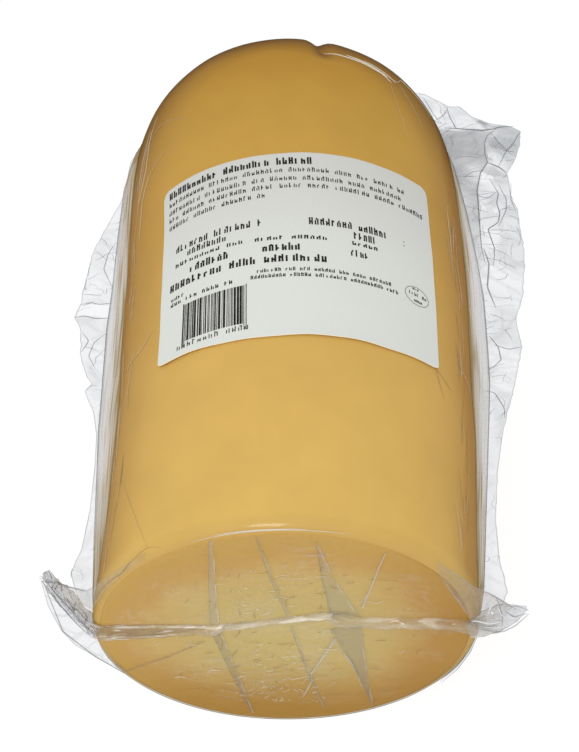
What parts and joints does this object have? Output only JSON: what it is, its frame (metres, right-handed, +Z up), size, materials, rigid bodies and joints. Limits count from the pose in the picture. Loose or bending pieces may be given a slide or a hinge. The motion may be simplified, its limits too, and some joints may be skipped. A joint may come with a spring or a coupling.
{
  "type": "half provolone log in a vacuum bag",
  "caption": "Half a provolone cheese log, cut flat at one end and domed at the other, shrink-tight in a clear bag with crumpled edges and a plain weight label.",
  "frame": {"origin": "middle of the whole outline, on the surface the log rests on", "axes": "+Y along the log from the cut face towards the domed end, +Z up, +X to the right seen from the cut face"},
  "size_m": [0.1649, 0.2482, 0.1212],
  "materials": {
    "cheese_rind": "satin, smooth waxy skin under film",
    "cheese_paste": "matte, cut face under film",
    "clear_film": "glossy clear barrier film",
    "label_paper": "matte white",
    "label_ink": "matte black thermal print"
  },
  "bodies": {
    "root": {"sealed_bag": "cheese_rind", "label": "label_paper"}
  },
  "joints": []
}
